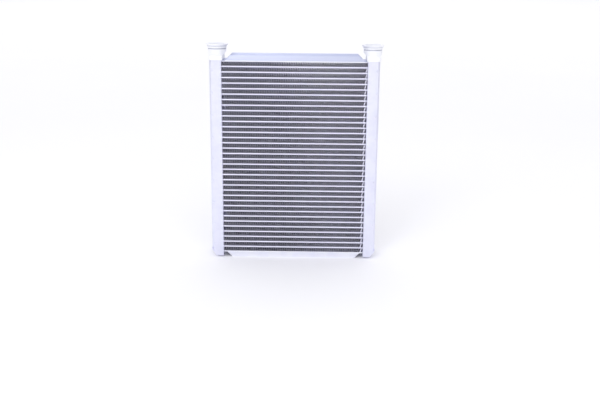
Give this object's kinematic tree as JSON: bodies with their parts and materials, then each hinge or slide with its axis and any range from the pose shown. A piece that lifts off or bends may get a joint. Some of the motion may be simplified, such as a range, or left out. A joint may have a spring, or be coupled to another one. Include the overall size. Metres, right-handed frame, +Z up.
{
  "type": "heater core",
  "caption": "Upright heater core: corrugated fins between flat tubes, slotted headers with folded side tanks, two side plates and a flared union cup on top of each tank.",
  "frame": {"origin": "centre of the bounding box's bottom face, on the surface that the bottom side plate stands on", "axes": "+X along the tubes towards the right tank, +Y through the core away from the viewer, +Z up towards the unions"},
  "size_m": [0.1812, 0.0306, 0.2234],
  "materials": {
    "flat_tube": "brazed, matt",
    "fin_sheet": "brazed, matt",
    "plate_sheet": "brazed, matt",
    "tank_sheet": "brazed, matt",
    "union_metal": "machined, then brazed, satin"
  },
  "bodies": {
    "root": {"bottom_fin": "fin_sheet", "bottom_side_plate": "plate_sheet", "core_row_01": "flat_tube", "core_row_02": "flat_tube", "core_row_03": "flat_tube", "core_row_04": "flat_tube", "core_row_05": "flat_tube", "core_row_06": "flat_tube", "core_row_07": "flat_tube", "core_row_08": "flat_tube", "core_row_09": "flat_tube", "core_row_10": "flat_tube", "core_row_11": "flat_tube", "core_row_12": "flat_tube", "core_row_13": "flat_tube", "core_row_14": "flat_tube", "core_row_15": "flat_tube", "core_row_16": "flat_tube", "core_row_17": "flat_tube", "core_row_18": "flat_tube", "core_row_19": "flat_tube", "core_row_20": "flat_tube", "core_row_21": "flat_tube", "core_row_22": "flat_tube", "core_row_23": "flat_tube", "core_row_24": "flat_tube", "core_row_25": "flat_tube", "core_row_26": "flat_tube", "core_row_27": "flat_tube", "core_row_28": "flat_tube", "core_row_29": "flat_tube", "core_row_30": "flat_tube", "core_row_31": "flat_tube", "core_row_32": "flat_tube", "core_row_33": "flat_tube", "core_row_34": "flat_tube", "core_row_35": "flat_tube", "left_end_cap": "tank_sheet", "left_header_plate": "tank_sheet", "left_tank_cover": "tank_sheet", "left_union": "union_metal", "right_end_cap": "tank_sheet", "right_header_plate": "tank_sheet", "right_tank_cover": "tank_sheet", "right_union": "union_metal", "top_side_plate": "plate_sheet"}
  },
  "joints": []
}
